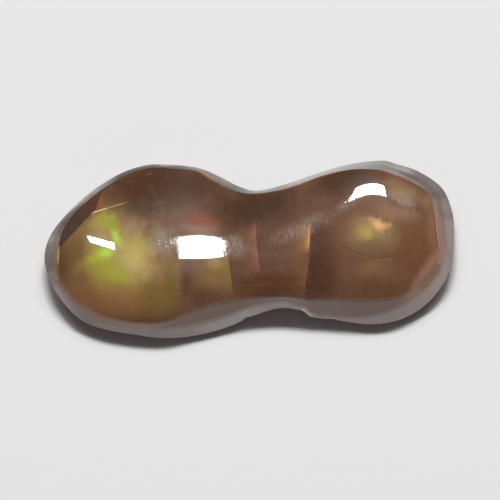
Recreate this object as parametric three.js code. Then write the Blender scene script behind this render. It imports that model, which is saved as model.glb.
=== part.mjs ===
// Fire agate cabochon: one freeform stone, longer than wide, with two rounded lobes and a waist.
// Millimetres. +X runs along the stone, +Y to its back edge, +Z up. The flat back lies at z = 0,
// and the origin is the middle of the stone's length and width.
import * as THREE from "three";

// The flat back, the bevel under the girdle and the girdle, the widest line of the stone.
const BACK_INSET = 0.4;
const GIRDLE_BAND = 0.12;
const GIRDLE_BAND_INSET = 0.03;

// The girdle, counterclockwise from the right end, as
// [x, y, height, inset, lower inset, lower height]. It rises at both ends and at the waist's front.
// The crown wall starts at the girdle and ends at the crown's edge, which lies "inset" inside the
// girdle. It bends once, "lower inset" inside the girdle at "lower height" as a share of the wall's
// height: a second, flatter bevel starts there.
const GIRDLE = [
  [11.2, 0.69, 1.1, 0.92, 0.46, 0.52],
  [11.1, 2.0, 0.95, 0.96, 0.48, 0.52],
  [10.53, 3.37, 0.78, 0.97, 0.48, 0.52],
  [9.27, 4.31, 0.65, 1.06, 0.53, 0.52],
  [8.07, 4.74, 0.6, 1.05, 0.52, 0.52],
  [7.25, 4.95, 0.55, 1.05, 0.52, 0.52],
  [5.5, 4.76, 0.5, 0.8, 0.4, 0.52],
  [3.75, 4.26, 0.45, 0.6, 0.3, 0.52],
  [1.95, 3.64, 0.42, 0.56, 0.28, 0.52],
  [0.47, 3.3, 0.4, 0.45, 0.22, 0.52],
  [-0.51, 3.51, 0.38, 0.54, 0.27, 0.52],
  [-1.66, 4.11, 0.38, 0.53, 0.26, 0.52],
  [-2.75, 4.56, 0.38, 0.36, 0.18, 0.52],
  [-4.23, 4.76, 0.38, 0.4, 0.2, 0.52],
  [-5.59, 4.74, 0.38, 0.34, 0.17, 0.52],
  [-7.07, 4.26, 0.38, 0.38, 0.19, 0.52],
  [-8.71, 3.18, 0.42, 0.44, 0.22, 0.52],
  [-10.02, 1.92, 0.5, 0.44, 0.22, 0.52],
  [-10.89, 0.64, 0.9, 0.62, 0.31, 0.52],
  [-11.2, -0.69, 1.25, 0.74, 0.37, 0.52],
  [-10.85, -2.12, 1.35, 0.52, 0.26, 0.52],
  [-10.03, -3.35, 1.15, 0.52, 0.26, 0.53],
  [-9.14, -4.13, 0.95, 0.58, 0.28, 0.54],
  [-8.0, -4.56, 0.8, 0.44, 0.21, 0.54],
  [-6.25, -4.86, 0.64, 0.43, 0.21, 0.54],
  [-4.61, -5.02, 0.5, 0.62, 0.34, 0.56],
  [-2.86, -4.83, 0.4, 1.02, 0.42, 0.48],
  [-1.17, -4.38, 0.5, 1.04, 0.4, 0.44],
  [0.36, -3.77, 0.75, 0.65, 0.34, 0.55],
  [1.67, -3.44, 0.9, 0.38, 0.19, 0.5],
  [2.71, -3.55, 0.9, 0.41, 0.14, 0.3],
  [3.31, -3.85, 0.7, 0.66, 0.1, 0.17],
  [4.95, -4.07, 0.6, 0.8, 0.1, 0.17],
  [6.7, -4.25, 0.55, 0.96, 0.3, 0.4],
  [8.34, -3.94, 0.5, 0.88, 0.46, 0.61],
  [9.76, -3.08, 0.75, 0.9, 0.46, 0.6],
  [10.76, -1.81, 1.1, 0.9, 0.43, 0.54],
  [11.14, -0.55, 1.2, 0.76, 0.37, 0.53],
];

// Small chips in the front edge, as [x, y, radius, depth], and how high they reach.
const CHIPS = [
  [-0.13, -4.0, 0.22, 0.12],
  [3.0, -3.72, 0.25, 0.16],
  [4.55, -4.02, 0.3, 0.09],
];
const CHIP_TOP = 1.6;

// The crown's sections, one every STATION_STEP from the left end to the right one: where the ridge
// runs, how high it is and how strongly the section curves over it (1 over the radius). The front
// shoulder falls more, per fourth power of the distance from the ridge, and the back shoulder
// straightens out at about the distance given.
const STATION_START = -11.2;
const STATION_STEP = 2.8;
const RIDGE_Y = [0.13, -1.04, -2.28, -2.86, -1.7, -0.6, 1.12, 0.94, 0.03];
const RIDGE_Z = [1.96, 2.84, 2.45, 2.12, 2.28, 2.87, 3.02, 3.1, 2.02];
const CURVE = [0.189, 0.171, 0.0953, 0.0882, 0.1334, 0.15, 0.0855, 0.0835, 0.26];
const FRONT_FALL = [0, 0, 0.0173, 0.0316, 0.0212, 0, 0, 0, 0];
const BACK_STRAIGHT = [11.8, 5.94, 2.99, 2.73, 1.79, 3.22, 10.7, 19.5, 27.4];

// A flat cut that takes a little off the crown at the left end's back, as a point on it and its
// rise along x and y.
const FLAT = { x: -9.14, y: 0.92, z: 2.27, riseX: 0.48, riseY: -0.55 };
const FLAT_SOFTNESS = 0.03;

// How finely the surface is divided.
const PER_GIRDLE_POINT = 6;
const ACROSS = 22;

// The value at x of a smooth curve led by one value per station: a cubic B-spline.
function alongStone(values, x) {
  const last = values.length - 1;
  const t = (x - STATION_START) / STATION_STEP;
  const i = Math.min(Math.max(Math.floor(t), 0), last - 1);
  const f = t - i;
  const before = i > 0 ? values[i - 1] : 2 * values[0] - values[1];
  const after = i < last - 1 ? values[i + 2] : 2 * values[last] - values[last - 1];
  const sum =
    (1 - f) ** 3 * before +
    (3 * f ** 3 - 6 * f ** 2 + 4) * values[i] +
    (-3 * f ** 3 + 3 * f ** 2 + 3 * f + 1) * values[i + 1] +
    f ** 3 * after;
  return sum / 6;
}

// Height of the crown above a point of the flat back.
function crownHeight(x, y) {
  const w = y - alongStone(RIDGE_Y, x);
  const curve = alongStone(CURVE, x);
  const straight = alongStone(BACK_STRAIGHT, x);
  const front = (curve * w * w) / 2 + alongStone(FRONT_FALL, x) * w ** 4;
  const back = curve * straight ** 2 * (Math.hypot(1, w / straight) - 1);
  const dome = alongStone(RIDGE_Z, x) - (w < 0 ? front : back);
  const plane = FLAT.z + FLAT.riseX * (x - FLAT.x) + FLAT.riseY * (y - FLAT.y);
  return softLower(dome, plane);
}

// The lower of two heights, with the corner between them rounded a little.
function softLower(a, b) {
  const gap = Math.abs(a - b) / FLAT_SOFTNESS;
  return Math.min(a, b) - FLAT_SOFTNESS * Math.log(1 + Math.exp(-gap));
}

// Every number of a row of GIRDLE at t, from 0 to 1 once round: a curve through the rows.
function girdleRow(t) {
  const count = GIRDLE.length;
  const place = t * count;
  const i = Math.floor(place);
  const f = place - i;
  const [a, b, c, d] = [-1, 0, 1, 2].map((k) => GIRDLE[(i + k + count) % count]);
  return b.map((_, n) => {
    const straight = c[n] - a[n];
    const bend = 2 * a[n] - 5 * b[n] + 4 * c[n] - d[n];
    const twist = -a[n] + 3 * b[n] - 3 * c[n] + d[n];
    return b[n] + 0.5 * (straight * f + bend * f * f + twist * f * f * f);
  });
}

// The direction into the stone at t, square to the girdle.
function inward(t) {
  const step = 0.25 / GIRDLE.length;
  const [x0, y0] = girdleRow((t - step + 1) % 1);
  const [x1, y1] = girdleRow((t + step) % 1);
  return new THREE.Vector2(y0 - y1, x1 - x0).normalize();
}

// How far the chips set the surface back at a point of a wall.
function chipDepth(x, y, z) {
  const fade = Math.max(0, 1 - z / CHIP_TOP);
  let depth = 0;
  for (const [cx, cy, radius, most] of CHIPS) {
    const away = Math.hypot(x - cx, y - cy) / radius;
    depth += most * fade * Math.exp(-away * away);
  }
  return depth;
}

// The five rings of the wall at t, from the flat back up to the crown's edge.
function wallPoints(t) {
  const [x, y, girdleZ, inset, lowerInset, lowerHeight] = girdleRow(t);
  const into = inward(t);
  const edgeX = x + into.x * inset;
  const edgeY = y + into.y * inset;
  const edgeZ = crownHeight(edgeX, edgeY);
  const bendZ = girdleZ + (edgeZ - girdleZ) * lowerHeight;
  const rings = [
    [BACK_INSET, 0],
    [GIRDLE_BAND_INSET, girdleZ - GIRDLE_BAND],
    [0, girdleZ],
    [lowerInset, bendZ],
    [inset, edgeZ],
  ];
  return rings.map(([depth, z]) => {
    const back = depth + chipDepth(x, y, z);
    return [x + into.x * back, y + into.y * back, z];
  });
}

function stoneGeometry() {
  const around = GIRDLE.length * PER_GIRDLE_POINT;
  const half = around / 2;
  const positions = [];
  const faces = [];
  const addPoint = (p) => positions.push(...p) / 3 - 1;
  const addFace = (a, b, c) => {
    if (a !== b && b !== c && c !== a) faces.push(a, b, c);
  };
  const addQuad = (a, b, c, d) => {
    addFace(a, b, c);
    addFace(a, c, d);
  };

  // Walls: five rings joined by strips.
  const rings = [[], [], [], [], []];
  for (let i = 0; i < around; i++) {
    wallPoints(i / around).forEach((p, k) => rings[k].push(addPoint(p)));
  }
  for (let k = 0; k < rings.length - 1; k++) {
    for (let i = 0; i < around; i++) {
      const j = (i + 1) % around;
      addQuad(rings[k][i], rings[k][j], rings[k + 1][j], rings[k + 1][i]);
    }
  }

  // Flat back: each point of the back edge is joined to its partner on the front edge.
  const partner = (i) => (around - i) % around;
  for (let i = 0; i < half; i++) {
    const [a, b] = [rings[0][i], rings[0][i + 1]];
    addQuad(b, a, rings[0][partner(i)], rings[0][partner(i + 1)]);
  }

  // Crown: rows of points from the back edge across to the front edge, closer together at both.
  const edge = rings[rings.length - 1];
  const rows = [];
  for (let i = 0; i <= half; i++) {
    const [start, end] = [edge[i % around], edge[partner(i)]];
    const row = [start];
    for (let k = 1; k < ACROSS; k++) {
      const v = (1 - Math.cos((Math.PI * k) / ACROSS)) / 2;
      const x = positions[3 * start] * (1 - v) + positions[3 * end] * v;
      const y = positions[3 * start + 1] * (1 - v) + positions[3 * end + 1] * v;
      row.push(start === end ? start : addPoint([x, y, crownHeight(x, y)]));
    }
    row.push(end);
    rows.push(row);
  }
  for (let i = 0; i < half; i++) {
    for (let k = 0; k < ACROSS; k++) {
      addQuad(rows[i][k], rows[i + 1][k], rows[i + 1][k + 1], rows[i][k + 1]);
    }
  }

  const geometry = new THREE.BufferGeometry();
  geometry.setAttribute("position", new THREE.Float32BufferAttribute(positions, 3));
  geometry.setIndex(faces);
  geometry.computeVertexNormals();
  return geometry;
}

// Brown fire agate with a high polish.
const agate = new THREE.MeshStandardMaterial({ color: 0x6b4530, roughness: 0.08, metalness: 0 });

const stone = new THREE.Mesh(stoneGeometry(), agate);
stone.name = "stone";

const cabochon = new THREE.Group();
cabochon.add(stone);

export default cabochon;
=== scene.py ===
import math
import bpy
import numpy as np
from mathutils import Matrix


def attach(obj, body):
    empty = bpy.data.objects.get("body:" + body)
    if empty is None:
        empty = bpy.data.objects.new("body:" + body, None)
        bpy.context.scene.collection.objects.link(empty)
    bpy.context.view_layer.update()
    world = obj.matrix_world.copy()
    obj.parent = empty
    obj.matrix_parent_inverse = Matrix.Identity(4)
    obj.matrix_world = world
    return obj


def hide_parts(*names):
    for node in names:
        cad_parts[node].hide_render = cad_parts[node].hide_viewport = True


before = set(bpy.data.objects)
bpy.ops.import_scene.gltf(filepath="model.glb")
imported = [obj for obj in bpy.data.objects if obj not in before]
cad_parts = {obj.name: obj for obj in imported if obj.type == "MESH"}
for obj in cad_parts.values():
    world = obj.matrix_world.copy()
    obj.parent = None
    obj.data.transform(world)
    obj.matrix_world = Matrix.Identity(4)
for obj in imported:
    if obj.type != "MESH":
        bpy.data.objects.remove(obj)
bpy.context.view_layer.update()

# %% [markdown]
# # A fire agate cabochon
# Fire agate is brown chalcedony with thin layers of iron oxide inside. The layers split light into
# green, gold and red, as an oil film does. The cutter follows one colour layer, so the finished
# stone is freeform: here it is long, with two rounded lobes and a waist.
# This lesson makes the polished surface from formulas, gives it its fire with a node material, and
# lights it with one softbox over a white floor. The stone's sizes are in millimetres until its mesh
# is made, and the sizes of the room are in metres.

# %% [markdown]
# ## The outline
# Seen from above, the widest line of the stone is called its girdle. It could be drawn by hand as a
# curve object, but a short table is easier to correct: each row gives one place on the girdle and
# how far inside it the wall ends.

# %% The girdle's table
# x, y, height, inset of the crown's edge, inset where the wall bends, height of the bend as a share.
GIRDLE = np.array([
    [11.2, 0.69, 1.1, 0.92, 0.46, 0.52],
    [11.1, 2.0, 0.95, 0.96, 0.48, 0.52],
    [10.53, 3.37, 0.78, 0.97, 0.48, 0.52],
    [9.27, 4.31, 0.65, 1.06, 0.53, 0.52],
    [8.07, 4.74, 0.6, 1.05, 0.52, 0.52],
    [7.25, 4.95, 0.55, 1.05, 0.52, 0.52],
    [5.5, 4.76, 0.5, 0.8, 0.4, 0.52],
    [3.75, 4.26, 0.45, 0.6, 0.3, 0.52],
    [1.95, 3.64, 0.42, 0.56, 0.28, 0.52],
    [0.47, 3.3, 0.4, 0.45, 0.22, 0.52],
    [-0.51, 3.51, 0.38, 0.54, 0.27, 0.52],
    [-1.66, 4.11, 0.38, 0.53, 0.26, 0.52],
    [-2.75, 4.56, 0.38, 0.36, 0.18, 0.52],
    [-4.23, 4.76, 0.38, 0.4, 0.2, 0.52],
    [-5.59, 4.74, 0.38, 0.34, 0.17, 0.52],
    [-7.07, 4.26, 0.38, 0.38, 0.19, 0.52],
    [-8.71, 3.18, 0.42, 0.44, 0.22, 0.52],
    [-10.02, 1.92, 0.5, 0.44, 0.22, 0.52],
    [-10.89, 0.64, 0.9, 0.62, 0.31, 0.52],
    [-11.2, -0.69, 1.25, 0.74, 0.37, 0.52],
    [-10.85, -2.12, 1.35, 0.52, 0.26, 0.52],
    [-10.03, -3.35, 1.15, 0.52, 0.26, 0.53],
    [-9.14, -4.13, 0.95, 0.58, 0.28, 0.54],
    [-8.0, -4.56, 0.8, 0.44, 0.21, 0.54],
    [-6.25, -4.86, 0.64, 0.43, 0.21, 0.54],
    [-4.61, -5.02, 0.5, 0.62, 0.34, 0.56],
    [-2.86, -4.83, 0.4, 1.02, 0.42, 0.48],
    [-1.17, -4.38, 0.5, 1.04, 0.4, 0.44],
    [0.36, -3.77, 0.75, 0.65, 0.34, 0.55],
    [1.67, -3.44, 0.9, 0.38, 0.19, 0.5],
    [2.71, -3.55, 0.9, 0.41, 0.14, 0.3],
    [3.31, -3.85, 0.7, 0.66, 0.1, 0.17],
    [4.95, -4.07, 0.6, 0.8, 0.1, 0.17],
    [6.7, -4.25, 0.55, 0.96, 0.3, 0.4],
    [8.34, -3.94, 0.5, 0.88, 0.46, 0.61],
    [9.76, -3.08, 0.75, 0.9, 0.46, 0.6],
    [10.76, -1.81, 1.1, 0.9, 0.43, 0.54],
    [11.14, -0.55, 1.2, 0.76, 0.37, 0.53],
])
POINTS_PER_ROW = 24
around = len(GIRDLE) * POINTS_PER_ROW
print("the girdle has", len(GIRDLE), "rows and", around, "points")

# %% [markdown]
# ## From rows to a smooth line
# Straight lines between the rows would leave corners in the polished edge. A cubic that passes
# through every row keeps the places that were given and still turns smoothly between them.
# The direction into the stone is worked out here too, because wall and crown both start from it.

# %% The curve through the girdle's rows
def girdle_rows(t):
    """Rows of the girdle at each t from 0 to 1: a cubic through the table's rows whose slope at a
    row is half the way from the row before to the row after."""
    place = (t % 1.0) * len(GIRDLE)
    i = np.floor(place).astype(int)
    f = (place - i)[:, None]
    a, b, c, d = (GIRDLE[(i + k) % len(GIRDLE)] for k in (-1, 0, 1, 2))
    slope, bend, twist = c - a, 2 * a - 5 * b + 4 * c - d, 3 * b - a - 3 * c + d
    return b + 0.5 * (slope * f + bend * f**2 + twist * f**3)


def inward(t):
    """Unit vectors into the stone: the girdle's direction, turned left by a right angle."""
    step = 0.25 / len(GIRDLE)
    along = girdle_rows(t + step)[:, :2] - girdle_rows(t - step)[:, :2]
    into = np.stack([-along[:, 1], along[:, 0]], axis=1)
    return into / np.linalg.norm(into, axis=1, keepdims=True)


t = np.arange(around) / around
girdle, into = girdle_rows(t), inward(t)
length_mm, width_mm = np.ptp(girdle[:, :2], axis=0)
print(f"the girdle is {length_mm:.2f} by {width_mm:.2f} mm")

# %% [markdown]
# ## The crown
# The crown is the domed top. A cutter shapes it by eye on a wheel, so each section across the stone
# differs a little from the next. Here each section is a parabola over a ridge line, with shoulders
# that fall a little more. The ridge and the curve change smoothly from station to station, because
# a polished stone shows every kink as a broken reflection.

# %% The crown's sections
# One value per station, from the left end to the right: where the ridge lies and how high it is, how
# tightly the section curves there (one over its radius), how much more the front shoulder falls, and
# how far behind the ridge the back slope straightens out.
STATION_START, STATION_STEP = -11.2, 2.8
RIDGE_Y = [0.13, -1.04, -2.28, -2.86, -1.7, -0.6, 1.12, 0.94, 0.03]
RIDGE_Z = [1.96, 2.84, 2.45, 2.12, 2.28, 2.87, 3.02, 3.1, 2.02]
CURVE = [0.189, 0.171, 0.0953, 0.0882, 0.1334, 0.15, 0.0855, 0.0835, 0.26]
FRONT_FALL = [0, 0, 0.0173, 0.0316, 0.0212, 0, 0, 0, 0]
BACK_STRAIGHT = [11.8, 5.94, 2.99, 2.73, 1.79, 3.22, 10.7, 19.5, 27.4]


def along_stone(values, x):
    """A cubic B-spline led by one value per station, so slope and bend are smooth everywhere."""
    led = np.concatenate([[2 * values[0] - values[1]], values, [2 * values[-1] - values[-2]]])
    place = (x - STATION_START) / STATION_STEP
    i = np.clip(np.floor(place).astype(int), 0, len(values) - 2)
    f = place - i
    shares = ((1 - f) ** 3, 3 * f**3 - 6 * f**2 + 4, 3 * f + 3 * f**2 - 3 * f**3 + 1, f**3)
    return sum(share * led[i + k] for k, share in enumerate(shares)) / 6


def dome_height(x, y):
    """Ridge height, less a parabola of the distance from the ridge that falls a little more with its
    fourth power in front and straightens out behind."""
    w = y - along_stone(RIDGE_Y, x)
    curve, straight = along_stone(CURVE, x), along_stone(BACK_STRAIGHT, x)
    front = curve * w**2 / 2 + along_stone(FRONT_FALL, x) * w**4
    back = curve * straight**2 * (np.hypot(1, w / straight) - 1)
    return along_stone(RIDGE_Z, x) - np.where(w < 0, front, back)


stations = np.linspace(-10, 10, 9)
print("the ridge's height along the stone (mm):", np.round(along_stone(RIDGE_Z, stations), 2))

# %% [markdown]
# ## One small flat
# On the shoulder of the left lobe the cutter left a flat. It is a plane, and the crown is the lower
# of the plane and the dome. The plain minimum of the two would meet in a knife-sharp fold, which no
# polished stone has, so the corner between them is rounded a little.

# %% The flat and the finished crown
# A point near the flat's inner edge, and its rise along x and y. It cuts deeper further out. The
# softness is the width of the rounded corner.
FLAT = (-9.14, 0.92, 2.27, 0.48, -0.55)
FLAT_SOFTNESS = 0.03


def crown_height(x, y):
    """The lower of the dome and the flat's plane, with the corner between them rounded a little."""
    flat_x, flat_y, flat_z, rise_x, rise_y = FLAT
    dome, plane = dome_height(x, y), flat_z + rise_x * (x - flat_x) + rise_y * (y - flat_y)
    gap = np.abs(dome - plane) / FLAT_SOFTNESS
    return np.minimum(dome, plane) - FLAT_SOFTNESS * np.log1p(np.exp(-gap))


flat_cut = dome_height(*FLAT[:2]) - crown_height(*FLAT[:2])
print(f"near its inner edge the flat takes {flat_cut:.2f} mm off the dome")

# %% [markdown]
# ## The wall
# Below the crown the stone has a steep wall in two tiers, a thin girdle and a bevel down to the flat
# back. The wall is a profile of straight runs carried round the girdle, so its corners are found
# first: how far inside the girdle each one lies, and how high.

# %% The wall's corners
# The bevel's width, the thin girdle's height and lean, and the width of one more ring that starts the
# flat back and one that starts the crown.
BACK_INSET = 0.4
GIRDLE_BAND, GIRDLE_BAND_INSET = 0.12, 0.03
FLAT_RIM = 0.08
CROWN_LIP = 0.12


def place_at(depth):
    """Points in plan, this far inside the girdle."""
    return girdle[:, :2] + into * depth[:, None]


def corner_columns():
    """The profile's corners, from the flat back to the crown: depth inside the girdle and height above
    the back, for every place round the stone. A wall corner's height is the girdle's, or a share of
    the way up to the crown, or the crown's own."""
    ones = np.ones(around)
    girdle_z, inset, low_inset, share = girdle[:, 2:].T
    edge_z = crown_height(*place_at(inset).T)
    lip_z = crown_height(*place_at(inset + CROWN_LIP).T)
    depths = [ones * (BACK_INSET + FLAT_RIM), ones * BACK_INSET, ones * GIRDLE_BAND_INSET,
              0 * ones, low_inset, inset, inset + CROWN_LIP]
    heights = [0 * ones, 0 * ones, girdle_z - GIRDLE_BAND, girdle_z,
               girdle_z + (edge_z - girdle_z) * share, edge_z, lip_z]
    return np.stack([np.stack(depths), np.stack(heights)], axis=2)


corners = corner_columns()
edge_heights = corners[-2, :, 1]
print(f"the crown's edge lies {edge_heights.min():.2f} to {edge_heights.max():.2f} mm above the back")

# %% [markdown]
# ## Rounded corners
# Polishing rounds every corner a little, and that thin rounded line is what catches the light. So
# each corner becomes a short curve instead of a sharp fold. A bevel modifier could do this too, but
# here the rings stay in order, and each ring can remember which tier of the wall it belongs to.

# %% The rounded profile
# How much of each corner is rounded in millimetres, from the flat back up to the crown's edge.
CORNER_ROUND = [0.03, 0.04, 0.05, 0.09, 0.07]
CORNER_POINTS = 6
RUN_POINTS = 3


def rounded_profile(corners):
    """Each inner corner becomes a quadratic curve from a point before it to a point after it, and
    the runs between the curves are split evenly. Also gives the length from the crown's edge, and
    each ring's tier: the number of the corner it lies at, or a value between two corners."""
    rings, tiers = [corners[0]], [0]
    for k, cut in enumerate(CORNER_ROUND, start=1):
        here = corners[k]
        before, after = corners[k - 1] - here, corners[k + 1] - here
        enter = here + cut * before / np.linalg.norm(before, axis=1, keepdims=True)
        leave = here + cut * after / np.linalg.norm(after, axis=1, keepdims=True)
        run_start = rings[-1]
        for s in np.linspace(0, 1, RUN_POINTS + 2)[1:-1]:
            rings.append(run_start * (1 - s) + enter * s)
            tiers.append(k - 1 + s)
        for s in np.linspace(0, 1, CORNER_POINTS):
            rings.append((1 - s) ** 2 * enter + 2 * s * (1 - s) * here + s**2 * leave)
            tiers.append(k)
    rings.append(corners[-1])
    tiers.append(len(CORNER_ROUND) + 1)
    rings = np.stack(rings)
    steps = np.linalg.norm(np.diff(rings, axis=0), axis=2)
    length = np.concatenate([np.zeros((1, around)), np.cumsum(steps, axis=0)])
    edge_ring = len(rings) - 1 - CORNER_POINTS // 2
    return rings, length - length[edge_ring], np.array(tiers)


rings, rim, ring_tier = rounded_profile(corners)
print("the wall has", len(rings), "rings of", around, "points")

# %% [markdown]
# ## Chips
# The front edge has a few shallow chips, as hand-cut stones often do. Each one is a smooth bell that
# sets the wall back. Cutting them out with a boolean would leave rims sharper than the polish.

# %% Chips in the wall
# x, y, radius and depth of each chip, and how high the chips reach.
CHIPS = [(-0.13, -4.0, 0.22, 0.12), (3.0, -3.72, 0.25, 0.16), (4.55, -4.02, 0.3, 0.09)]
CHIP_TOP = 1.6


def chip_depth(z):
    """How far the chips set the wall back: a bell round each chip that fades with height."""
    fade = np.clip(1 - z / CHIP_TOP, 0, 1)
    depth = np.zeros_like(z)
    for chip_x, chip_y, radius, most in CHIPS:
        away = np.hypot(girdle[:, 0] - chip_x, girdle[:, 1] - chip_y) / radius
        depth += most * fade * np.exp(-away**2)
    return depth


set_back = rings[:, :, 0] + chip_depth(rings[:, :, 1])
wall_plan = girdle[None, :, :2] + into[None] * set_back[:, :, None]
wall = np.concatenate([wall_plan, rings[:, :, 1:]], axis=2)
print(f"the deepest chip sets the wall back by {(set_back - rings[:, :, 0]).max():.2f} mm")

# %% [markdown]
# ## One closed surface
# The crown is filled with straight rows from the back edge to the front edge, lifted to the crown's
# height. The rows end exactly on the wall's last ring, so the skin has no gap. A grid of rows was
# chosen over a fan from the middle, because a fan pinches at its centre and spoils the reflection.

# %% The crown's rows
# Steps along a row, and how much they crowd together at both ends: 0 is even, 1 the most.
CROWN_STEPS = 104
CROWDING = 0.6
half = around // 2


def crown_rows():
    """Rows across the crown: points from the back edge to the front edge, closer together at both
    ends, each at the crown's height."""
    u = np.linspace(0, 1, CROWN_STEPS + 1)
    v = (u - CROWDING * np.sin(2 * np.pi * u) / (2 * np.pi))[None, 1:-1, None]
    back = wall[-1, np.arange(1, half), :2][:, None]
    front = wall[-1, around - np.arange(1, half), :2][:, None]
    plan = back * (1 - v) + front * v
    width = np.linalg.norm(back - front, axis=2)
    from_edge = CROWN_LIP + np.minimum(v, 1 - v)[:, :, 0] * width
    height = crown_height(plan[:, :, 0], plan[:, :, 1])
    return np.concatenate([plan, height[:, :, None]], axis=2), from_edge


inner, inner_rim = crown_rows()
points = np.concatenate([wall.reshape(-1, 3), inner.reshape(-1, 3)])
rim_mm = np.concatenate([rim.ravel(), inner_rim.ravel()])
tier = np.concatenate([np.repeat(ring_tier, around), np.full(inner_rim.size, ring_tier[-1])])
print("the crown has", len(inner), "rows, and the stone", len(points), "points")

# %% [markdown]
# ## Faces
# The points are joined into faces by their numbers: rings to rings for the wall, rows to rows for the
# crown, and straight strips for the flat back. At the two ends of the stone a row shrinks to one
# point, so its four-cornered faces become triangles there.

# %% Faces of the wall, the crown and the back
def quads(a, b, c, d):
    """Four arrays of corners as a list of faces."""
    return np.stack([a, b, c, d], axis=-1).reshape(-1, 4)


ring_index = np.arange(len(rings) * around).reshape(len(rings), around)
following = np.roll(ring_index, -1, axis=1)
wall_faces = quads(ring_index[:-1], following[:-1], following[1:], ring_index[1:])

i = np.arange(half + 1)
start, end = ring_index[-1, i % around], ring_index[-1, -i % around]
row_index = np.empty((half + 1, CROWN_STEPS + 1), int)
row_index[:, 0], row_index[:, -1] = start, end
row_index[[0, -1], 1:-1] = start[[0, -1], None]
row_index[1:-1, 1:-1] = ring_index.size + np.arange(inner[:, :, 0].size).reshape(half - 1, -1)
crown_faces = quads(row_index[:-1, :-1], row_index[1:, :-1], row_index[1:, 1:], row_index[:-1, 1:])

flat_start, flat_end = ring_index[0, i % around], ring_index[0, -i % around]
flat_faces = quads(flat_start[1:], flat_start[:-1], flat_end[:-1], flat_end[1:])


def faces_without_repeats(faces):
    """Faces at a row's end use one corner twice: those become triangles, and slivers are dropped."""
    repeats = (faces == np.roll(faces, 1, axis=1)).any(axis=1)
    kept = faces[~repeats].tolist()
    for face in faces[repeats].tolist():
        left = list(dict.fromkeys(face))
        if len(left) == 3:
            kept.append(left)
    return kept


faces = faces_without_repeats(np.concatenate([wall_faces, crown_faces, flat_faces]))
print("the stone has", len(faces), "faces")

# %% [markdown]
# ## The stone's mesh
# Each point also keeps two numbers for the material: its distance from the crown's edge, and its tier
# on the wall. A mesh attribute holds them, so the material never has to guess where the edge is.

# %% The mesh and its place in the part
mesh = bpy.data.meshes.new("polished_stone")
mesh.from_pydata((points / 1000).tolist(), [], faces)
for name, values in (("rim_mm", rim_mm), ("tier", tier)):
    mesh.attributes.new(name, "FLOAT", "POINT").data.foreach_set("value", values.astype(np.float32))
mesh.shade_smooth()
stone = bpy.data.objects.new("polished_stone", mesh)
bpy.context.scene.collection.objects.link(stone)
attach(stone, "root")
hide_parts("stone")
triangles = sum(len(face) - 2 for face in faces)
print("the polished stone has", triangles, f"triangles and is {points[:, 2].max():.2f} mm high")

# %% [markdown]
# ## Node helpers
# A node material can be built by hand in the editor. Written down as code it can be repeated and
# corrected, so a few small helpers add a node, do a sum and blend two colours.

# %% Helpers for node trees
def add_node(tree, kind, settings=None, inputs=None):
    """Adds a node. Settings are its own options, inputs are numbers, colours or sockets."""
    made = tree.nodes.new(kind)
    for name, value in (settings or {}).items():
        setattr(made, name, value)
    for name, value in (inputs or {}).items():
        if isinstance(value, bpy.types.NodeSocket):
            tree.links.new(value, made.inputs[name])
        else:
            made.inputs[name].default_value = value
    return made


def sum_of(tree, operation, *values):
    """One Math node, named by what it does."""
    return add_node(tree, "ShaderNodeMath", {"operation": operation}, dict(enumerate(values))).outputs[0]


def product_of(tree, first, *others):
    """The product of any number of values."""
    for other in others:
        first = sum_of(tree, "MULTIPLY", first, other)
    return first


def vector_of(tree, operation, *values):
    """One Vector Math node."""
    made = add_node(tree, "ShaderNodeVectorMath", {"operation": operation}, dict(enumerate(values)))
    return made.outputs["Value" if operation == "LENGTH" else "Vector"]


def step_of(tree, value, low, high, to_low=0.0, to_high=1.0):
    """A smooth step of a value between two limits, by default from 0 to 1."""
    made = add_node(tree, "ShaderNodeMapRange", {"interpolation_type": "SMOOTHSTEP"}, {
        "Value": value, "From Min": low, "From Max": high, "To Min": to_low, "To Max": to_high})
    return made.outputs["Result"]


def blend_of(tree, share, first, second):
    """A mix of two colours: share 0 gives the first, 1 the second. The numbers are the places of the
    colour sockets, because the node has more sockets of the same names."""
    made = add_node(tree, "ShaderNodeMix", {"data_type": "RGBA"}, {0: share, 6: first, 7: second})
    return made.outputs[2]


def tone(red, green, blue):
    """A colour as a screen shows it, from 0 to 255, turned into the share of light it gives."""
    shown = np.array([red, green, blue]) / 255
    light = np.where(shown <= 0.04045, shown / 12.92, ((shown + 0.055) / 1.055) ** 2.4)
    return (*light.tolist(), 1.0)


def new_group(name, inputs, outputs):
    """A node group with named sockets: returns its tree, its inputs and a place for its outputs."""
    tree = bpy.data.node_groups.new(name, "ShaderNodeTree")
    kinds = {"value": "NodeSocketFloat", "vector": "NodeSocketVector", "colour": "NodeSocketColor"}
    for label, kind in inputs:
        tree.interface.new_socket(label, in_out="INPUT", socket_type=kinds[kind])
    for label, kind in outputs:
        tree.interface.new_socket(label, in_out="OUTPUT", socket_type=kinds[kind])
    entry = tree.nodes.new("NodeGroupInput")
    leave = tree.nodes.new("NodeGroupOutput")
    return tree, entry.outputs, leave.inputs


def use_group(tree, group, **inputs):
    """Places a group in a tree, with its inputs by name."""
    named = {label.replace("_", " "): value for label, value in inputs.items()}
    return add_node(tree, "ShaderNodeGroup", {"node_tree": group}, named).outputs


BODY_TONE = (108, 76, 58)
print("the brown", BODY_TONE, "gives back", np.round(tone(*BODY_TONE)[:3], 3), "of the light")

# %% [markdown]
# ## Fire, one glow at a time
# Inside the stone each colour is a patch of a thin layer that faces the light. A patch has a place,
# a length, a width and a turn, and it fades outwards with a ragged rim. It could be painted on a
# picture, but a formula has no limit of detail and can be moved by changing one number.

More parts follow.
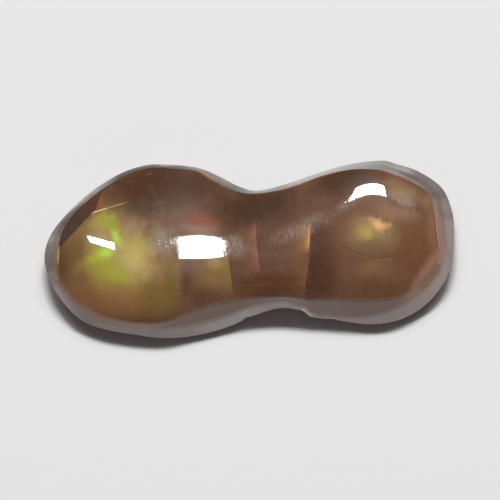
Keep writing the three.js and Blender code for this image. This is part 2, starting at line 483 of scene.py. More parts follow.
# %% The glow group
glow_group, entry, leave = new_group(
    "fire_glow",
    [("Place", "vector"), ("Centre", "vector"), ("Half size", "vector"), ("Turn", "value"),
     ("Core", "value"), ("Ragged", "value")],
    [("Mask", "value")])
offset = vector_of(glow_group, "SUBTRACT", entry["Place"], entry["Centre"])
turned = add_node(glow_group, "ShaderNodeVectorRotate", {"rotation_type": "Z_AXIS"}, {
    "Vector": offset, "Angle": sum_of(glow_group, "MULTIPLY", entry["Turn"], -math.pi / 180)})
scaled = vector_of(glow_group, "DIVIDE", turned.outputs[0], entry["Half size"])
flat = vector_of(glow_group, "MULTIPLY", scaled, (1, 1, 0))
reach = sum_of(glow_group, "ADD", vector_of(glow_group, "LENGTH", flat), entry["Ragged"])
glow_group.links.new(step_of(glow_group, reach, 1.0, entry["Core"]), leave["Mask"])
print("the glow group has", len(glow_group.nodes), "nodes")

# %% [markdown]
# ## Layer edges
# Where a colour layer ends at a crack or a fold, the glow stops at a clean line on one side and
# fades on the other. The line leans a little and bows, so it is a parabola across the stone.

# %% The layer edge group
CLEAN_EDGE_MM = 0.05
edge_group, entry, leave = new_group(
    "layer_edge",
    [("Place", "vector"), ("Edge", "vector"), ("Lean", "value"), ("Bow", "value"), ("Fade", "value"),
     ("Reach", "value")],
    [("Glow", "value"), ("Beyond", "value")])
parts = add_node(edge_group, "ShaderNodeSeparateXYZ", None, {
    0: vector_of(edge_group, "SUBTRACT", entry["Place"], entry["Edge"])}).outputs
leaning = product_of(edge_group, parts["Y"], entry["Lean"])
bowed = product_of(edge_group, parts["Y"], parts["Y"], entry["Bow"])
line_x = sum_of(edge_group, "ADD", leaning, bowed)
inside = sum_of(edge_group, "SUBTRACT", line_x, parts["X"])
end_share = sum_of(edge_group, "DIVIDE", sum_of(edge_group, "ABSOLUTE", parts["Y"]), entry["Reach"])
ends = step_of(edge_group, end_share, 1.0, 0.4)
for label, way in (("Glow", 1), ("Beyond", -1)):
    depth = sum_of(edge_group, "MULTIPLY", inside, way)
    clean = step_of(edge_group, depth, -CLEAN_EDGE_MM / 2, CLEAN_EDGE_MM / 2)
    share = sum_of(edge_group, "DIVIDE", sum_of(edge_group, "MAXIMUM", depth, 0), entry["Fade"])
    falling = sum_of(edge_group, "EXPONENT", sum_of(edge_group, "MULTIPLY", share, -1))
    edge_group.links.new(product_of(edge_group, clean, falling, ends), leave[label])
print("the edge group has", len(edge_group.nodes), "nodes")

# %% [markdown]
# ## Thin lines
# A healed crack or the rim of a layer shows as a hair-thin line. It follows a parabola along the
# stone between two ends and is brightest in its middle.

# %% The thin line group
line_group, entry, leave = new_group(
    "thin_line",
    [("Place", "vector"), ("Middle", "vector"), ("Slope", "value"), ("Bow", "value"),
     ("Half width", "value"), ("Half length", "value")],
    [("Mask", "value")])
parts = add_node(line_group, "ShaderNodeSeparateXYZ", None, {
    0: vector_of(line_group, "SUBTRACT", entry["Place"], entry["Middle"])}).outputs
rising = product_of(line_group, parts["X"], entry["Slope"])
bowed = product_of(line_group, parts["X"], parts["X"], entry["Bow"])
line_y = sum_of(line_group, "ADD", rising, bowed)
away = sum_of(line_group, "ABSOLUTE", sum_of(line_group, "SUBTRACT", parts["Y"], line_y))
across = step_of(line_group, sum_of(line_group, "DIVIDE", away, entry["Half width"]), 1.0, 0.0)
from_middle = sum_of(line_group, "ABSOLUTE", parts["X"])
ends = step_of(line_group, sum_of(line_group, "DIVIDE", from_middle, entry["Half length"]), 1.0, 0.5)
line_group.links.new(product_of(line_group, across, ends), leave["Mask"])
print("the line group has", len(line_group.nodes), "nodes")

# %% [markdown]
# ## The place that every mark reads
# The material reads the object's own coordinates, turned into millimetres, so every mark stays on
# the stone at any zoom. Noise bends that place and eats into each glow's rim, so no patch is a plain
# oval. A little bending suits a crack, and a lot suits a cloud.

# %% Place and noises
agate = bpy.data.materials.new("fire_agate")
agate.use_nodes = True
tree = agate.node_tree
tree.nodes.clear()
where = add_node(tree, "ShaderNodeTexCoord").outputs["Object"]
place = vector_of(tree, "MULTIPLY", where, (1000, 1000, 1000))


def noise_at(source, scale, detail=2.0, stretch=(1, 1, 1), rough=0.5):
    """Smooth noise around 0.5. A stretch below 1 along an axis draws it out along that axis."""
    pulled = vector_of(tree, "MULTIPLY", source, stretch)
    return add_node(tree, "ShaderNodeTexNoise", None, {
        "Vector": pulled, "Scale": scale, "Detail": detail, "Roughness": rough})


def wander(source, scale, reach):
    """The place, moved by smooth noise of this scale by up to this reach in millimetres."""
    swing = vector_of(tree, "SUBTRACT", noise_at(source, scale).outputs["Color"], (0.5, 0.5, 0.5))
    moved = vector_of(tree, "MULTIPLY", swing, (2 * reach, 2 * reach, 0))
    return vector_of(tree, "ADD", source, moved)


def centred(value, gain):
    """Noise moved to swing around zero by this gain."""
    return sum_of(tree, "MULTIPLY", sum_of(tree, "SUBTRACT", value, 0.5), gain)


steady = wander(place, 1.1, 0.05)
bent = wander(wander(place, 0.5, 0.25), 1.8, 0.12)
fibre = noise_at(bent, 5.0, 3.0, (1, 0.28, 1)).outputs["Fac"]
thread = noise_at(bent, 13.0, 2.0, (1, 0.3, 1)).outputs["Fac"]
cloud = noise_at(bent, 1.3, 4.0, (1, 1, 1), 0.6).outputs["Fac"]


def noise_mix(of_thread, of_fibre, of_cloud):
    """The three noises around zero, each with its own gain."""
    return sum_of(tree, "ADD", centred(thread, of_thread), sum_of(
        tree, "ADD", centred(fibre, of_fibre), centred(cloud, of_cloud)))


CALM_SHARE = 0.35
ragged = noise_mix(0.5, 0.5, 0.7)
calm = product_of(tree, ragged, CALM_SHARE)
rim_mm = add_node(tree, "ShaderNodeAttribute", {"attribute_name": "rim_mm"}).outputs["Fac"]
tier = add_node(tree, "ShaderNodeAttribute", {"attribute_name": "tier"}).outputs["Fac"]
print("the place and its noises use", len(tree.nodes), "nodes")

# %% [markdown]
# ## The body's tones
# A row of a table is one glow: name, centre, half size, turn, core, share and the colour that the
# screen shows. The broad dull tones come first, dark on the far side, where the room is reflected,
# and warmer on the near side. One even brown would make the stone look like plastic.

# %% Body tones
def glow_mask(row, source, rim):
    """The mask of one row of a table. Rim is the noise that eats into the glow."""
    x, y, long, wide, turn, core = row[1:7]
    return use_group(tree, glow_group, Place=source, Centre=(x, y, 0), Half_size=(long, wide, 1),
                     Turn=turn, Core=core, Ragged=rim)["Mask"]


def lay_glows(colour, rows, rim):
    """Lays the glows of a table over a colour, one after another."""
    for row in rows:
        mask = glow_mask(row, bent, rim)
        colour = blend_of(tree, product_of(tree, mask, row[7]), colour, tone(*row[8]))
    return colour


# name, centre, half size, turn, core, share and colour
BODY = [
    ("far_left", -4.8, 3.3, 4.8, 1.9, 0, 0.3, 0.95, (76, 50, 34)),
    ("far_waist", 0.3, 2.0, 3.6, 1.7, 10, 0.3, 0.95, (74, 50, 36)),
    ("far_right", 5.2, 3.4, 2.8, 1.3, 12, 0.2, 0.95, (73, 47, 30)),
    ("left_lobe", -7.2, -1.6, 4.6, 3.8, 0, 0.3, 0.8, (158, 124, 68)),
    ("lower_left", -9.1, -3.1, 2.0, 1.9, 0, 0.2, 0.8, (134, 90, 62)),
    ("lower_mid", -7.0, -3.4, 2.2, 1.4, 0, 0.2, 0.7, (148, 102, 66)),
    ("lower_olive", -5.2, -3.2, 1.5, 1.8, 0, 0.2, 0.8, (118, 92, 48)),
    ("left_end", -10.2, -1.2, 1.1, 2.0, 0, 0.1, 0.8, (86, 66, 36)),
    ("waist_low", 1.0, -2.5, 2.6, 1.1, 0, 0.4, 0.8, (88, 50, 29)),
    ("waist_mid", 1.5, -0.5, 1.7, 1.9, 0, 0.2, 0.6, (102, 74, 60)),
    ("dark_right", 4.0, -1.4, 1.2, 2.7, 0, 0.3, 0.8, (82, 50, 34)),
    ("right_lobe", 7.2, -0.4, 4.0, 3.6, 0, 0.5, 0.6, (128, 91, 66)),
    ("right_low", 6.8, -2.7, 2.2, 0.9, 0, 0.3, 0.7, (102, 68, 43)),
    ("right_red", 8.9, -0.8, 1.5, 2.2, 0, 0.3, 0.7, (118, 75, 50)),
    ("right_tier", 9.75, -1.6, 2.5, 0.55, 60, 0.2, 0.7, (172, 128, 104)),
    ("right_rim", 10.1, 0.7, 0.55, 2.2, 0, 0.2, 0.6, (142, 104, 78)),
]
colour = lay_glows(tone(*BODY_TONE), BODY, calm)
print("the body has", len(BODY), "tones")

# %% [markdown]
# ## Fire of the left lobe
# The strongest fire is a fan of green and gold that opens on both sides of the lamp's reflection.
# Its rims are eaten by the full noise, so the colours run into each other like ink on wet paper.

# %% Fire of the left lobe
LEFT_FIRE = [
    ("field", -7.4, -0.5, 2.6, 3.1, 0, 0.2, 0.75, (160, 140, 76)),
    ("grey_haze", -5.9, 1.9, 1.9, 0.9, 0, 0.1, 0.6, (72, 54, 36)),
    # Painted sheen: the next two rows are pale tones for the softbox's light spread by fine scratches
    # left of the middle reflection.
    ("painted_sheen_mauve", -5.2, -0.2, 0.9, 1.1, 0, 0.1, 0.7, (152, 130, 112)),
    ("painted_sheen_dotted", -4.9, 0.5, 0.5, 1.1, 15, 0.1, 0.6, (138, 124, 98)),
    ("orange_patch", -8.35, 2.3, 0.75, 0.45, 35, 0.1, 0.8, (142, 86, 54)),
    ("gold_left", -8.9, 0.5, 0.9, 0.8, 30, 0.1, 0.8, (130, 102, 62)),
    ("fan", -7.9, 1.1, 1.3, 0.9, 10, 0.1, 0.85, (162, 148, 68)),
    ("fan_core", -7.75, 1.2, 0.7, 0.6, 20, 0.1, 0.8, (146, 150, 48)),
    ("fan_streak", -7.4, 0.8, 0.45, 0.8, 15, 0.0, 0.75, (140, 150, 44)),
    ("fan_bright", -7.2, 0.1, 0.42, 0.8, 12, 0.0, 0.9, (176, 210, 78)),
    ("peach", -6.3, 0.75, 1.0, 0.9, 0, 0.0, 0.8, (150, 118, 98)),
    ("gold_mid", -6.3, -0.9, 1.6, 2.0, 0, 0.0, 0.95, (190, 170, 102)),
    ("olive_low", -7.8, -1.8, 1.7, 1.1, -8, 0.1, 0.9, (160, 148, 60)),
    ("green_spot", -7.3, -1.95, 1.4, 0.7, -20, 0.0, 0.75, (166, 166, 60)),
    ("left_red", -9.2, -2.0, 0.8, 0.6, 0, 0.1, 0.6, (112, 84, 54)),
    ("left_shade", -9.5, -0.5, 1.0, 1.2, 0, 0.1, 0.8, (108, 84, 52)),
    ("lime_low", -8.15, -0.95, 1.0, 0.7, 25, 0.0, 0.9, (164, 184, 50)),
    ("lime_core", -7.85, -0.7, 0.7, 0.46, 32, 0.0, 0.95, (178, 212, 74)),
    ("lime_tip", -8.6, -1.15, 0.55, 0.36, 20, 0.0, 0.6, (178, 168, 56)),
]
colour = lay_glows(colour, LEFT_FIRE, ragged)
print("the left lobe has", len(LEFT_FIRE), "glows")

# %% [markdown]
# ## Fire of the waist
# The waist is darker. An olive band stands beside a purple one, and a dull red patch glows behind.

# %% Fire of the waist
WAIST_FIRE = [
    ("olive_band", -4.25, -2.4, 0.55, 1.9, 0, 0.1, 0.85, (108, 92, 38)),
    ("purple_band", -3.4, -2.0, 0.55, 1.5, 0, 0.0, 0.6, (66, 36, 26)),
    ("waist_shade", -2.5, -3.0, 1.9, 1.0, 0, 0.0, 0.5, (76, 50, 26)),
    ("waist_gold", -2.1, -1.9, 1.3, 1.1, 0, 0.0, 0.5, (142, 112, 62)),
    ("waist_glint", -1.8, -1.2, 0.8, 0.6, 0, 0.0, 0.6, (180, 154, 98)),
    ("red_glow", -2.7, 1.25, 1.5, 0.9, -10, 0.1, 0.8, (120, 70, 44)),
    ("red_core", -2.55, 1.35, 1.0, 0.5, -15, 0.1, 0.8, (134, 72, 46)),
    # Painted sheen: a pale band for the softbox's light spread by fine scratches above the middle
    # reflection.
    ("painted_red_sheen", -2.8, 0.85, 1.7, 0.5, 0, 0.0, 0.4, (172, 134, 116)),
    ("waist_olive", 0.0, -2.7, 0.9, 0.45, 0, 0.1, 0.7, (92, 68, 34)),
    ("waist_orange", 2.5, -2.2, 0.7, 0.7, 0, 0.1, 0.7, (90, 52, 25)),
]
colour = lay_glows(colour, WAIST_FIRE, ragged)
print("the waist has", len(WAIST_FIRE), "glows")

# %% [markdown]
# ## Fire of the right lobe
# Here a small layer lies like an eye: gold around it, orange and lime in the middle. Small glows over
# a broad halo give it depth, where one bright spot would look painted on.

# %% Fire of the right lobe
RIGHT_FIRE = [
    ("upper_gold", 8.3, 2.65, 1.8, 0.8, -32, 0.0, 0.8, (160, 130, 98)),
    ("upper_bright", 8.1, 2.95, 0.7, 0.3, -25, 0.1, 0.7, (142, 104, 66)),
    ("upper_end", 9.7, 2.2, 0.5, 0.8, 0, 0.1, 0.7, (147, 112, 74)),
    # The hatch row is a red tone with painted sheen: the softbox's light spread by fine scratches right
    # of the right reflection.
    ("red_hatch_and_sheen", 8.0, 1.5, 1.6, 0.8, -15, 0.1, 0.6, (158, 120, 94)),
    ("eye_halo", 6.6, 0.3, 2.05, 1.4, 0, 0.0, 0.95, (166, 134, 94)),
    ("eye_below", 6.6, -0.5, 1.3, 0.7, 0, 0.1, 0.6, (120, 98, 66)),
    ("eye_left", 6.0, 0.6, 0.5, 0.8, 0, 0.1, 0.7, (165, 120, 94)),
    ("eye_green", 6.4, 0.35, 0.85, 0.65, 20, 0.0, 0.85, (184, 156, 84)),
    ("eye_lime", 6.5, 0.25, 0.5, 0.45, 30, 0.0, 0.7, (180, 166, 90)),
    ("eye_gold", 7.15, 0.65, 0.65, 0.5, 0, 0.0, 0.8, (194, 154, 88)),
    ("eye_right", 7.55, 0.75, 0.4, 0.3, 0, 0.1, 0.8, (200, 160, 96)),
    ("eye_arm", 6.75, 0.97, 0.6, 0.3, -10, 0.1, 0.8, (202, 152, 108)),
    ("eye_orange", 7.1, 0.75, 0.5, 0.42, -10, 0.1, 1.0, (236, 180, 124)),
    ("under_crack", 6.7, -1.6, 1.4, 0.6, 0, 0.1, 0.7, (132, 100, 68)),
    ("under_gold", 6.6, -1.45, 0.9, 0.35, 0, 0.1, 0.5, (142, 108, 62)),
    ("low_gold", 7.0, -2.2, 0.9, 0.3, 0, 0.1, 0.6, (118, 82, 44)),
]
colour = lay_glows(colour, RIGHT_FIRE, ragged)
print("the right lobe has", len(RIGHT_FIRE), "glows")

# %% [markdown]
# ## Bands across the waist
# Three bands cross the waist, each with a clean edge on its right. They are laid after the glows,
# because an edge must not be blurred by anything over it.

# %% Layer edges of the waist
# name, edge, lean, bow, fade inside, fade beyond, reach, share, glow, beyond
EDGES = [
    ("waist_gold", -1.05, -1.6, -0.12, 0.0, 0.7, 0.5, 1.5, 0.65, (152, 118, 64), (90, 62, 48)),
    ("pink_band", 0.42, -0.35, -0.09, 0.03, 0.35, 0.6, 1.8, 0.65, (156, 104, 82), (92, 62, 50)),
    ("gold_band", 3.28, -1.1, 0.13, -0.01, 0.9, 1.2, 2.7, 0.65, (136, 92, 60), (80, 52, 40)),
    ("gold_core", 3.3, 0.1, 0.08, 0.0, 0.32, 0.1, 0.95, 0.85, (196, 142, 88), (84, 54, 42)),
    ("gold_line", 3.31, 0.1, 0.08, 0.0, 0.07, 0.1, 0.7, 0.6, (236, 190, 116), (84, 54, 42)),
]
for _, x, y, lean, bow, fade, fade_beyond, reach_mm, share, glow, beyond in EDGES:
    for label, length, shown in (("Beyond", fade_beyond, beyond), ("Glow", fade, glow)):
        mask = use_group(tree, edge_group, Place=steady, Edge=(x, y, 0), Lean=lean, Bow=bow,
                         Fade=length, Reach=reach_mm)[label]
        colour = blend_of(tree, product_of(tree, mask, share), colour, tone(*shown))
print("the waist has", len(EDGES), "layer edges")

# %% [markdown]
# ## Rim, crack and growth lines
# The layer under the left lobe ends in a gold rim. A healed crack runs under the eye as a dark line
# with a light one below it, which the eye reads as a small step. Faint growth lines cross the waist.

# %% Thin lines
# name, middle, slope, bow, half width, half length, share, colour
LINES = [
    ("gold_rim", -7.75, 1.95, 0.38, -0.02, 0.08, 1.3, 0.7, (190, 148, 98)),
    ("gold_rim_bright", -8.2, 1.78, 0.38, -0.02, 0.045, 0.5, 1.0, (248, 216, 156)),
    ("crack_left", 5.8, -0.75, -0.38, 0.08, 0.05, 1.25, 0.5, (80, 56, 42)),
    ("crack_left_light", 5.8, -0.85, -0.38, 0.08, 0.06, 1.2, 0.25, (150, 116, 80)),
    ("crack_right", 7.6, -1.02, 0.12, 0.06, 0.05, 1.2, 0.4, (88, 62, 44)),
    ("crack_right_light", 7.3, -1.15, 0.1, 0.06, 0.07, 0.7, 0.35, (156, 124, 80)),
    ("waist_arch", 1.5, -1.35, 0.12, -0.16, 0.06, 1.2, 0.35, (84, 52, 36)),
    ("waist_dark", 1.6, -2.15, -0.03, 0.02, 0.05, 1.8, 0.35, (76, 44, 28)),
    ("waist_light", 0.6, -2.45, -0.02, 0.01, 0.05, 1.3, 0.2, (150, 100, 70)),
    ("right_streak", 3.6, -2.38, -0.02, 0.0, 0.05, 0.7, 0.25, (140, 86, 62)),
    # Painted glint: a tiny light tick on the back edge.
    ("painted_glint_back", -5.45, 4.06, 0.3, 0.0, 0.03, 0.25, 0.6, (150, 120, 106)),
    ("corner_top", 9.87, 2.96, -0.35, -0.3, 0.035, 0.5, 0.5, (70, 52, 42)),
    ("corner_low", 10.1, 2.5, 0.6, 0.3, 0.035, 0.25, 0.5, (70, 52, 42)),
    # Painted sheen: a faint pale line across the far side of the left lobe.
    ("painted_sheen_line", -5.1, 2.6, -2.3, 0.0, 0.6, 0.55, 0.12, (128, 100, 84)),
]
for _, x, y, slope, bow, half_width, half_length, share, shown in LINES:
    mask = use_group(tree, line_group, Place=steady, Middle=(x, y, 0), Slope=slope, Bow=bow,
                     Half_width=half_width, Half_length=half_length)["Mask"]
    colour = blend_of(tree, product_of(tree, mask, share), colour, tone(*shown))
print("the stone has", len(LINES), "thin lines")

# %% [markdown]
# ## The dark facet
# The flat cuts through the colour layers, so it shows only dark agate. It ends at a straight line
# and a short end, which are drawn by colour: two distances, of which the smaller counts.

# %% The dark facet
# The long line's slope and its y where x is 0, the short end's x where y is 0 and its lean.
FACET_SLOPE, FACET_AT_ZERO = 1.11, 11.13
FACET_END, FACET_END_LEAN = -8.96, 0.3
FACET_FADE = (-0.03, 0.04)
FACET_SHARE = 0.95
FACET_TONE, FACET_BACK_TONE = (68, 52, 44), (82, 54, 42)
CROWN_TIER, TIER_FADE = 5, 0.1
parts = add_node(tree, "ShaderNodeSeparateXYZ", None, {0: steady}).outputs
facet_line = sum_of(tree, "ADD", product_of(tree, parts["X"], FACET_SLOPE), FACET_AT_ZERO)
facet_end = sum_of(tree, "ADD", product_of(tree, parts["Y"], FACET_END_LEAN), FACET_END)
facet_mm = sum_of(tree, "MINIMUM", sum_of(tree, "SUBTRACT", parts["Y"], facet_line),
                  sum_of(tree, "SUBTRACT", facet_end, parts["X"]))
on_crown = step_of(tree, tier, CROWN_TIER - TIER_FADE, CROWN_TIER + TIER_FADE)
facet = product_of(tree, step_of(tree, facet_mm, *FACET_FADE), on_crown)
facet_back = step_of(tree, parts["Y"], 0.8, 2.6)
facet_colour = blend_of(tree, facet_back, tone(*FACET_TONE), tone(*FACET_BACK_TONE))
colour = blend_of(tree, product_of(tree, facet, FACET_SHARE), colour, facet_colour)
print("the facet's line meets the left end at y =", round(FACET_SLOPE * -10.8 + FACET_AT_ZERO, 2), "mm")

# %% [markdown]
# ## Fibres, scratches and their painted sheen
# Chalcedony is made of fine fibres, which make the body a little uneven. Fine scratches lie in a few
# places around the reflections. The softbox's light that they catch is painted as pale threads here,
# and further on the same threads become low steps of the surface, so colour and shine break up together.

# %% Fibres, clouds, scratches and painted sheen
uneven = sum_of(tree, "ADD", noise_mix(0.3, 0.2, 0.3), 1.0)
shaded = add_node(tree, "ShaderNodeVectorMath", {"operation": "SCALE"}, {
    0: colour, "Scale": uneven}).outputs[0]
# name, centre, half size, turn, core and share of each scratched place, where pale threads are painted
# as sheen
SCRATCHES_AND_SHEEN = [
    ("left_highlight", -8.1, -0.1, 1.5, 0.6, -20, 0.0, 0.5),
    ("left_of_middle", -4.5, 0.0, 1.0, 1.2, 10, 0.2, 1.0),
    ("right_of_middle", -1.0, -0.3, 1.1, 1.0, 0, 0.3, 1.0),
    ("along_the_waist", 2.9, 0.7, 2.9, 0.8, 22, 0.0, 0.9),
    ("left_of_right", 5.4, 2.0, 1.2, 0.5, 25, 0.2, 0.6),
    ("right_of_right", 8.3, 2.25, 1.2, 0.45, -33, 0.2, 1.0),
    ("under_right", 8.8, 1.5, 1.2, 0.6, -25, 0.0, 0.4),
]


def most_of(rows, source, rim, least):
    """The greatest share that any row of a table has at this place."""
    for row in rows:
        least = sum_of(tree, "MAXIMUM", least, product_of(tree, glow_mask(row, source, rim), row[7]))
    return least


SCRATCHES_AND_SHEEN_ELSEWHERE = 0.02
SHEEN_THREAD_TONE = (160, 147, 138)
scratched = most_of(SCRATCHES_AND_SHEEN, bent, calm, SCRATCHES_AND_SHEEN_ELSEWHERE)
grain = noise_at(wander(place, 3.0, 0.1), 12.0, 2.0, (1, 0.25, 0.3), 0.6).outputs["Fac"]
# Painted sheen: the pale threads stand for the softbox's light caught in the scratches.
painted_sheen_threads = product_of(tree, step_of(tree, grain, 0.38, 0.62, 0.15, 0.65), scratched)
shaded = blend_of(tree, painted_sheen_threads, shaded, tone(*SHEEN_THREAD_TONE))
print("the crown is scratched in", len(SCRATCHES_AND_SHEEN), "places")

# %% [markdown]
# ## The lower wall
# The wall is clear pale chalcedony. Real chalcedony lets light through, which costs a lot of
# rendering time, so the light that comes out of it is shown as paler and darker tones. A wall that
# reflects the white floor gets a dark tone, since the reflection adds its own light.

# %% Tones of the lower wall
LOWER_WALL_TONE = (174, 156, 151)
# name, centre, half size, turn, core, share and colour
LOWER_WALL = [
    ("back_left", -6.2, 4.7, 4.8, 2.7, 12, 0.6, 1.0, (88, 72, 64)),
    ("back_waist", 0.6, 3.7, 3.0, 1.4, 0, 0.3, 1.0, (72, 62, 60)),
    ("back_right", 4.6, 4.9, 5.2, 1.7, 0, 0.6, 1.0, (92, 82, 76)),
    ("right_back", 10.1, 3.6, 2.2, 1.4, -40, 0.5, 1.0, (90, 75, 68)),
    ("right_end", 11.4, 0.2, 1.2, 2.4, 0, 0.5, 0.8, (140, 124, 116)),
    ("right_front", 9.6, -3.0, 2.4, 1.1, 45, 0.4, 0.8, (190, 172, 165)),
    ("lower_left", -7.4, -4.8, 4.2, 1.7, -12, 0.4, 0.9, (148, 137, 133)),
    ("left_end", -11.3, -0.9, 1.0, 1.5, 0, 0.5, 1.0, (106, 92, 88)),
    ("waist_front", -1.0, -4.2, 2.6, 0.7, 12, 0.3, 0.9, (202, 192, 184)),
    ("left_back", -10.5, 1.4, 1.8, 1.7, 0, 0.4, 1.0, (82, 70, 66)),
    ("back_corner", -4.6, 4.8, 0.8, 0.6, 0, 0.1, 0.8, (172, 154, 144)),
    ("waist_corner", 3.15, -3.75, 0.45, 0.45, 0, 0.3, 1.0, (250, 236, 226)),
    ("back_bend", -2.2, 4.2, 1.2, 0.6, -25, 0.2, 0.8, (84, 72, 68)),
    ("back_flat", -7.8, 3.8, 0.7, 0.5, 30, 0.2, 0.8, (134, 116, 108)),
    ("left_corner", -10.7, -2.0, 0.5, 0.6, 0, 0.2, 0.7, (112, 100, 98)),
    ("right_bend", 10.9, 1.9, 0.7, 0.8, 0, 0.3, 0.8, (110, 94, 88)),
    ("left_tip", -11.0, 0.1, 0.5, 0.6, 0, 0.1, 0.8, (84, 72, 70)),
]
lower_wall = lay_glows(tone(*LOWER_WALL_TONE), LOWER_WALL, calm)
print("the lower wall has", len(LOWER_WALL), "tones")

# %% [markdown]
# ## The upper wall
# The upper tier still shows some of the brown crown through it, so its tones are warmer. The tier
# attribute is 3 at the girdle, 4 at the bend and 5 at the crown's edge, and it puts each tone on its
# own tier. The bevel under the girdle is out of sight from above. Its plain brown is a guess, chosen
# because it gives the shadow beside it a warm tint.

# %% Tones of the upper wall
UPPER_WALL_TONE, BEVEL_TONE = (146, 116, 102), (124, 72, 46)
BEND_TIER = 4
BEVEL_FADE = (2.9, 2.6)
# As on the lower tier, light that comes out of the wall is painted as paler tones, and where the wall
# reflects the white floor it gets a darker tone, since the reflection adds its own light.
# name, centre, half size, turn, core, share and colour
UPPER_WALL = [
    ("back_left", -6.2, 4.7, 4.8, 2.7, 12, 0.6, 1.0, (46, 32, 25)),
    ("back_waist", 0.3, 3.6, 3.0, 1.3, 0, 0.5, 1.0, (74, 62, 56)),
    ("back_right", 5.0, 4.9, 5.4, 1.7, 0, 0.6, 1.0, (82, 66, 58)),
    ("right_back", 10.1, 3.6, 2.2, 1.4, -40, 0.5, 1.0, (80, 60, 48)),
    ("right_end", 11.4, 0.2, 1.4, 2.4, 0, 0.5, 0.8, (128, 98, 82)),
    ("lower_left", -6.9, -4.3, 3.0, 1.0, -15, 0.3, 0.8, (178, 138, 116)),
    ("waist_front", 2.0, -3.4, 2.2, 0.8, 0, 0.3, 0.7, (108, 80, 66)),
    ("right_front", 9.6, -3.0, 2.4, 1.1, 45, 0.4, 0.8, (172, 132, 110)),
    ("left_end", -11.3, -0.9, 1.2, 1.5, 0, 0.5, 1.0, (105, 88, 70)),
    ("left_back", -10.3, 1.6, 1.8, 1.7, 0, 0.6, 1.0, (36, 26, 22)),
    ("right_corner", 10.2, -0.9, 1.3, 1.1, 45, 0.2, 0.7, (172, 130, 108)),
    ("back_bend", -1.5, 3.8, 0.9, 0.8, -20, 0.3, 0.8, (112, 98, 92)),
    ("back_flat", -7.8, 3.6, 0.7, 0.5, 30, 0.2, 0.8, (104, 86, 76)),
    ("right_bend", 10.7, 1.9, 0.7, 0.8, 0, 0.3, 0.8, (92, 70, 60)),
    ("right_shoulder", 8.6, 4.1, 1.0, 0.8, -25, 0.3, 0.9, (40, 28, 22)),
    ("left_tip", -10.7, 0.1, 0.5, 0.6, 0, 0.1, 0.8, (74, 60, 52)),
]
upper_wall = lay_glows(tone(*UPPER_WALL_TONE), UPPER_WALL, calm)
on_upper = step_of(tree, tier, BEND_TIER - TIER_FADE, BEND_TIER + TIER_FADE)
wall_colour = blend_of(tree, on_upper, lower_wall, upper_wall)
wall_colour = blend_of(tree, step_of(tree, tier, *BEVEL_FADE), wall_colour, tone(*BEVEL_TONE))
colour = blend_of(tree, on_crown, wall_colour, shaded)
print("the upper wall has", len(UPPER_WALL), "tones")

# %% [markdown]
# ## Painted light in the edge
# Along parts of its edge the crown is thin and lets light through, which is painted as a fine pale
# line. The distance from the edge, kept on every point of the mesh, draws it without any search.

# %% Painted light in the edge
# name, centre, half size, turn, core, share and colour
PAINTED_RIM_LIGHTS = [
    ("lower_left", -7.8, -3.7, 2.2, 0.9, -25, 0.4, 0.5, (186, 134, 114)),
    ("left_end", -10.55, -0.75, 0.4, 0.7, 0, 0.3, 0.6, (216, 190, 132)),
    ("right_end", 10.3, 0.9, 0.7, 1.9, 0, 0.4, 0.6, (188, 146, 124)),
]
RIM_LINE_MM = 0.02
RIM_LINE_FADE = (0.07, 0.03)
from_line = sum_of(tree, "ABSOLUTE", sum_of(tree, "SUBTRACT", rim_mm, RIM_LINE_MM))
painted_rim_line = step_of(tree, from_line, *RIM_LINE_FADE)
for row in PAINTED_RIM_LIGHTS:
    mask = product_of(tree, glow_mask(row, place, calm), painted_rim_line, row[7])
    colour = blend_of(tree, mask, colour, tone(*row[8]))
print("light shows in", len(PAINTED_RIM_LIGHTS), "parts of the edge")

# %% [markdown]
# ## Less polish on the back wall
# With a full polish the back wall would mirror more of the white floor than the photo shows. How
# well it is really polished can't be seen, so a weaker coat there is a guess that fits the picture.

# %% Where the wall is dull
# name, centre, half size, turn, core and share of each dull place
DULL_WALL = [
    ("back", 0.0, 5.2, 12.0, 3.6, 0, 0.7, 0.3),
    ("back_waist", 0.2, 3.6, 3.2, 1.3, 0, 0.5, 0.6),
    ("back_left", -6.2, 4.7, 4.0, 2.0, 12, 0.4, 0.72),
    ("left_back", -9.7, 2.1, 2.3, 1.9, 0, 0.4, 0.88),
    ("right_back", 9.0, 4.3, 1.7, 1.2, -30, 0.4, 0.5),
]
on_wall = step_of(tree, tier, CROWN_TIER + TIER_FADE, CROWN_TIER - TIER_FADE)
dull = product_of(tree, most_of(DULL_WALL, place, 0.0, 0.0), on_wall)
print("the wall is dull in", len(DULL_WALL), "places")

# %% [markdown]
# ## The polish
# The crown and the wall are polished, and the flat back is only ground. Polished agate reflects a
# lamp sharply. Long fine scratches from the last wheel run across the stone and draw the lamp out
# into a faint smear along it. The coat gives the sharp reflection, and a layer under it, brushed
# across the stone, gives the smear. Each scratch is a low step of the coat.

